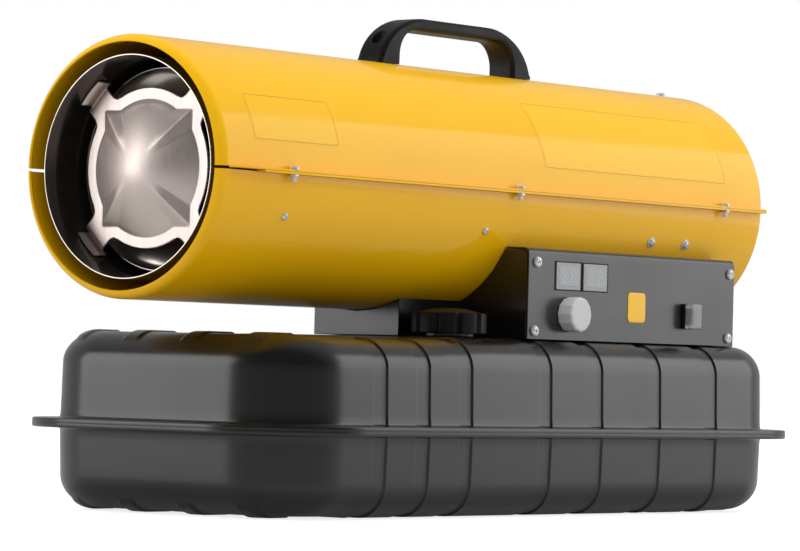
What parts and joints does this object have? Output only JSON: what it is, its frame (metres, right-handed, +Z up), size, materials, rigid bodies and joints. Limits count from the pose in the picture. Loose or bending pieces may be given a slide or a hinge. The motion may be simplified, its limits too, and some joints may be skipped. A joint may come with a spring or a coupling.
{
  "type": "forced air heater",
  "caption": "Portable forced air heater: a yellow steel tube with burner, fan and air pump on a black pressed fuel tank, with a control box and a carrying handle.",
  "frame": {"origin": "middle of the base, on the ground under the tank", "axes": "+Z up, air is blown out towards -Y, the controls are on +X"},
  "size_m": [0.327, 0.774, 0.422],
  "materials": {
    "yellow_paint": "warm yellow gloss paint on rolled sheet",
    "black_paint": "satin black paint on pressed sheet",
    "black_plastic": "moulded black plastic, fine grain",
    "stainless": "bright stainless, slightly warm",
    "dark_steel": "heat-darkened sheet steel",
    "zinc_steel": "bright zinc plating",
    "aluminium": "cast and turned aluminium",
    "brass": "plain brass",
    "copper": "copper pipe",
    "rubber": "black fuel-proof rubber",
    "carbon": "pressed carbon, dull",
    "ceramic": "white glazed ceramic",
    "grey_plastic": "moulded grey plastic",
    "display_lens": "pale unlit display under a clear lens",
    "clear_boot": "soft translucent switch boot",
    "board": "green circuit board",
    "potting": "potted transformer block"
  },
  "bodies": {
    "heater": {"tank_upper_shell": "black_paint", "tank_lower_shell": "black_paint", "filler_neck": "zinc_steel", "filler_strainer": "zinc_steel", "suction_pipe": "zinc_steel", "suction_filter": "brass", "upper_shell": "yellow_paint", "lower_shell": "yellow_paint", "combustion_chamber": "dark_steel", "chamber_inner_ring": "stainless", "flame_diffuser": "stainless", "chamber_head": "dark_steel", "burner_head": "zinc_steel", "burner_adapter": "aluminium", "nozzle": "brass", "spark_electrode": "ceramic", "photocell": "black_plastic", "photocell_bracket": "zinc_steel", "motor_housing": "black_paint", "motor_bracket": "zinc_steel", "pump_body": "aluminium", "pump_end_cover": "aluminium", "air_hose": "rubber", "fuel_line": "copper", "rear_guard": "black_paint", "carrying_handle": "black_plastic", "front_pedestal": "black_paint", "control_box": "black_paint", "control_panel": "black_paint", "display_module_1": "display_lens", "display_module_2": "display_lens", "circuit_board": "board", "potentiometer": "zinc_steel", "switch_body": "black_plastic", "switch_boot": "clear_boot", "ignition_transformer": "potting", "cord_gland": "black_plastic", "seam_bolt_left_1": "zinc_steel", "seam_bolt_left_2": "zinc_steel", "seam_bolt_left_3": "zinc_steel", "chamber_bracket_front_left": "dark_steel", "chamber_bracket_rear_left": "dark_steel", "seam_bolt_right_1": "zinc_steel", "seam_bolt_right_2": "zinc_steel", "seam_bolt_right_3": "zinc_steel", "chamber_bracket_front_right": "dark_steel", "chamber_bracket_rear_right": "dark_steel"},
    "rotor": {"axial_fan": "aluminium", "motor_shaft": "zinc_steel", "pump_rotor": "carbon", "pump_vane_1": "carbon", "pump_vane_2": "carbon", "pump_vane_3": "carbon", "pump_vane_4": "carbon"},
    "cap": {"fuel_cap": "black_plastic", "cap_gasket": "rubber"},
    "drain_plug": {"drain_plug": "zinc_steel"},
    "knob": {"thermostat_knob": "grey_plastic", "potentiometer_shaft": "aluminium"},
    "rocker": {"switch_rocker": "black_plastic"}
  },
  "joints": [
    {"name": "fan_spin", "type": "hinge", "parent": "heater", "child": "rotor", "pos_m": [0, 0.073, 0.2745], "axis": [0, 1, 0], "continuous": true},
    {"name": "cap_turn", "type": "hinge", "parent": "heater", "child": "cap", "pos_m": [0.084, -0.069, 0.16], "axis": [0, 0, 1], "range_deg": [0, 720]},
    {"name": "drain_plug_turn", "type": "hinge", "parent": "heater", "child": "drain_plug", "pos_m": [0.104, 0.176, 0.004], "axis": [0, 0, -1], "range_deg": [0, 1080]},
    {"name": "thermostat_turn", "type": "hinge", "parent": "heater", "child": "knob", "pos_m": [0.1185, 0.051, 0.1703], "axis": [1, 0, 0], "range_deg": [-280, 0]},
    {"name": "switch_tilt", "type": "hinge", "parent": "heater", "child": "rocker", "pos_m": [0.1191, 0.2295, 0.1733], "axis": [0, 1, 0], "range_deg": [0, 24]}
  ]
}
